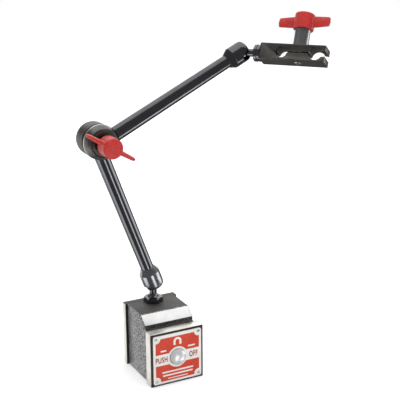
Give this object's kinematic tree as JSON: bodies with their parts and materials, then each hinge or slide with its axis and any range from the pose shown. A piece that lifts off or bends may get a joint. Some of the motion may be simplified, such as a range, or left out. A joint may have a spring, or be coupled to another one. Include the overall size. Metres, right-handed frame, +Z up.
{
  "type": "magnetic base with articulated indicator arm",
  "caption": "Push-button magnetic base with a two-tube articulated arm, ball joints at both ends, an elbow lock and a split clamp for indicator stems.",
  "frame": {"origin": "centre of the magnetic foot, on the surface it grips", "axes": "+Z up, -Y towards the front face with the push button, +X to the right seen from the front"},
  "size_m": [0.1734, 0.078, 0.2613],
  "materials": {
    "hammertone_paint": "grey hammertone paint, ground bare on the sloping face",
    "ground_steel": "surface-ground steel",
    "red_enamel": "red and white printed enamel",
    "bright_pin": "bright plated steel",
    "chrome_plate": "polished chrome",
    "black_chrome": "gloss black chrome",
    "satin_black_steel": "satin black steel",
    "grey_steel": "grey satin steel",
    "black_oxide": "black oxide",
    "plain_steel": "machined steel",
    "brass": "machined brass",
    "magnet_alloy": "ground magnet alloy",
    "red_nylon": "red glass-filled nylon, fine texture"
  },
  "bodies": {
    "base": {"base_body": "hammertone_paint", "front_pole_plate": "ground_steel", "rear_pole_plate": "ground_steel", "bore_sleeve": "brass", "front_nameplate": "red_enamel", "rear_nameplate": "red_enamel", "front_nameplate_pins": "bright_pin", "rear_nameplate_pins": "bright_pin", "front_plate_screws": "black_oxide", "rear_plate_screws": "black_oxide", "detent_ball": "bright_pin", "detent_spring": "plain_steel", "detent_screw": "black_oxide", "base_ball_stud": "plain_steel"},
    "magnet_plunger": {"push_rod": "brass", "front_button": "chrome_plate", "rear_button": "chrome_plate", "pole_discs": "plain_steel", "magnet_slugs": "magnet_alloy"},
    "lower_ball_piece": {"lower_ball": "black_oxide"},
    "lower_seat_piece": {"lower_ball_seat": "plain_steel"},
    "lower_arm": {"lower_socket": "black_chrome", "lower_tube": "black_chrome", "lower_push_rod": "plain_steel", "lower_drum": "satin_black_steel", "elbow_bolt": "black_oxide", "rear_draw_cone": "plain_steel", "elbow_friction_washer": "black_oxide"},
    "elbow_knob": {"elbow_wing_knob": "red_nylon", "elbow_knob_insert": "brass"},
    "upper_arm": {"upper_drum": "grey_steel", "front_draw_cone": "plain_steel", "elbow_thrust_plate": "satin_black_steel", "elbow_boss": "black_oxide", "upper_tube": "black_chrome", "upper_push_rod": "plain_steel"},
    "upper_socket_head": {"upper_socket": "black_chrome", "upper_ball_seat": "plain_steel", "socket_snap_ring": "plain_steel"},
    "upper_ball_piece": {"upper_ball": "black_oxide"},
    "clamp": {"clamp_ball_stud": "black_oxide", "clamp_block": "black_oxide", "clamp_sleeve": "satin_black_steel"},
    "clamp_knob": {"clamp_screw": "plain_steel", "clamp_wing_knob": "red_nylon", "clamp_knob_insert": "brass"}
  },
  "joints": [
    {"name": "magnet_push", "type": "slide", "parent": "base", "child": "magnet_plunger", "axis": [0, 1, 0], "range_m": [0, 0.0055]},
    {"name": "base_pan", "type": "hinge", "parent": "base", "child": "lower_ball_piece", "pos_m": [0, 0.01515, 0.0644], "axis": [0, 0, 1], "continuous": true},
    {"name": "base_tilt", "type": "hinge", "parent": "lower_ball_piece", "child": "lower_seat_piece", "pos_m": [0, 0.01515, 0.0644], "axis": [0, 1, 0], "range_deg": [-69.65, 46]},
    {"name": "lower_arm_roll", "type": "hinge", "parent": "lower_seat_piece", "child": "lower_arm", "pos_m": [0, 0.01515, 0.0644], "axis": [-0.3478, 0, 0.9376], "range_deg": [0, 180]},
    {"name": "elbow_swing", "type": "hinge", "parent": "lower_arm", "child": "upper_arm", "pos_m": [-0.04208, 0.01515, 0.17785], "axis": [0, -1, 0], "range_deg": [-60, 200]},
    {"name": "elbow_knob_turn", "type": "hinge", "parent": "lower_arm", "child": "elbow_knob", "pos_m": [-0.04208, 0.01515, 0.17785], "axis": [0, -1, 0], "range_deg": [0, 360]},
    {"name": "upper_socket_turn", "type": "hinge", "parent": "upper_arm", "child": "upper_socket_head", "pos_m": [0.0663, 0.0017, 0.23165], "axis": [0.8957, 0, 0.4446], "continuous": true},
    {"name": "clamp_tilt", "type": "hinge", "parent": "upper_socket_head", "child": "upper_ball_piece", "pos_m": [0.0663, 0.0017, 0.23165], "axis": [0.4171, 0.3463, -0.8403], "range_deg": [-81, 34.8]},
    {"name": "clamp_spin", "type": "hinge", "parent": "upper_ball_piece", "child": "clamp", "pos_m": [0.0663, 0.0017, 0.23165], "axis": [0.6388, -0.7694, 0], "continuous": true},
    {"name": "clamp_knob_turn", "type": "hinge", "parent": "clamp", "child": "clamp_knob", "pos_m": [0.09387, -0.0315, 0.23165], "axis": [0.3565, 0.2959, 0.8862], "range_deg": [0, 360]}
  ]
}
